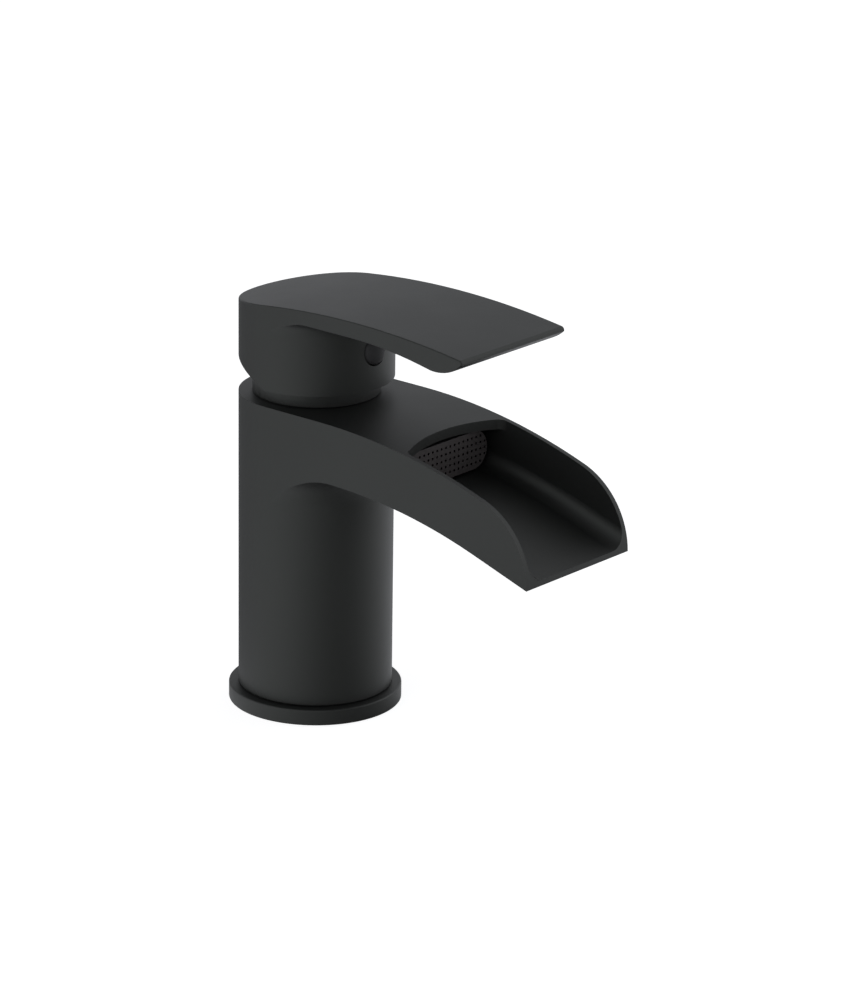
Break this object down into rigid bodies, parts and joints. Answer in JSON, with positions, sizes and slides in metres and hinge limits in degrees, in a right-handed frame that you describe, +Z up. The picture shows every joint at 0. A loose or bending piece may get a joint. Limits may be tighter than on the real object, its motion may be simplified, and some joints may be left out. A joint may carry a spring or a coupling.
{
  "type": "faucet",
  "caption": "Single-lever basin mixer tap: a round column with an open, curved waterfall trough as its spout, a turning and tilting lever on top and a ceramic disc cartridge inside.",
  "frame": {"origin": "centre of the underside of the base ring, on the column's axis, where the tap stands on the basin's tap hole", "axes": "+Z up along the column, -Y the way the spout and the lever point, +X to the right when looking along +Y at the spout's front"},
  "size_m": [0.0542, 0.131, 0.1346],
  "materials": {
    "black_finish": "fine matte black powder coat on brass",
    "black_plug": "matte black plastic",
    "grille_finish": "matte dark grey, slightly warm",
    "plain_brass": "machined brass",
    "plain_steel": "plain stainless steel",
    "disc_ceramic": "polished alumina ceramic",
    "cream_plastic": "moulded cream plastic",
    "slate_plastic": "moulded blue-grey plastic",
    "black_rubber": "black rubber"
  },
  "bodies": {
    "tap_body": {"body": "black_finish", "base_ring": "black_finish", "base_gasket": "black_rubber", "cartridge_base": "cream_plastic", "seat_seals": "black_rubber", "disc_seals": "black_rubber", "cartridge_housing": "cream_plastic", "housing_seal": "black_rubber", "fixed_disc": "disc_ceramic", "cartridge_nut": "plain_brass", "collar_ring": "black_rubber", "collar": "black_finish", "outlet_grille": "grille_finish", "grille_seal": "black_rubber"},
    "sleeve_group": {"turning_sleeve": "slate_plastic", "sleeve_seal": "black_rubber", "pivot_pin": "plain_steel"},
    "lever_group": {"handle": "black_finish", "lever_spindle": "plain_steel", "grub_screw": "plain_steel", "screw_plug": "black_plug"},
    "disc_group": {"disc_carrier": "slate_plastic", "moving_disc": "disc_ceramic"}
  },
  "joints": [
    {"name": "handle_turn", "type": "hinge", "parent": "tap_body", "child": "sleeve_group", "pos_m": [0, 0, 0.097], "axis": [0, 0, 1], "range_deg": [-45, 45]},
    {"name": "handle_lift", "type": "hinge", "parent": "sleeve_group", "child": "lever_group", "pos_m": [0, 0, 0.097], "axis": [-1, 0, 0], "range_deg": [0, 24]},
    {"name": "disc_slide", "type": "slide", "parent": "sleeve_group", "child": "disc_group", "axis": [0, -1, 0], "range_m": [0, 0.00554]}
  ],
  "couplings": [
    {"joint": "disc_slide", "follows": "handle_lift", "m_per_rad": 0.013206}
  ]
}
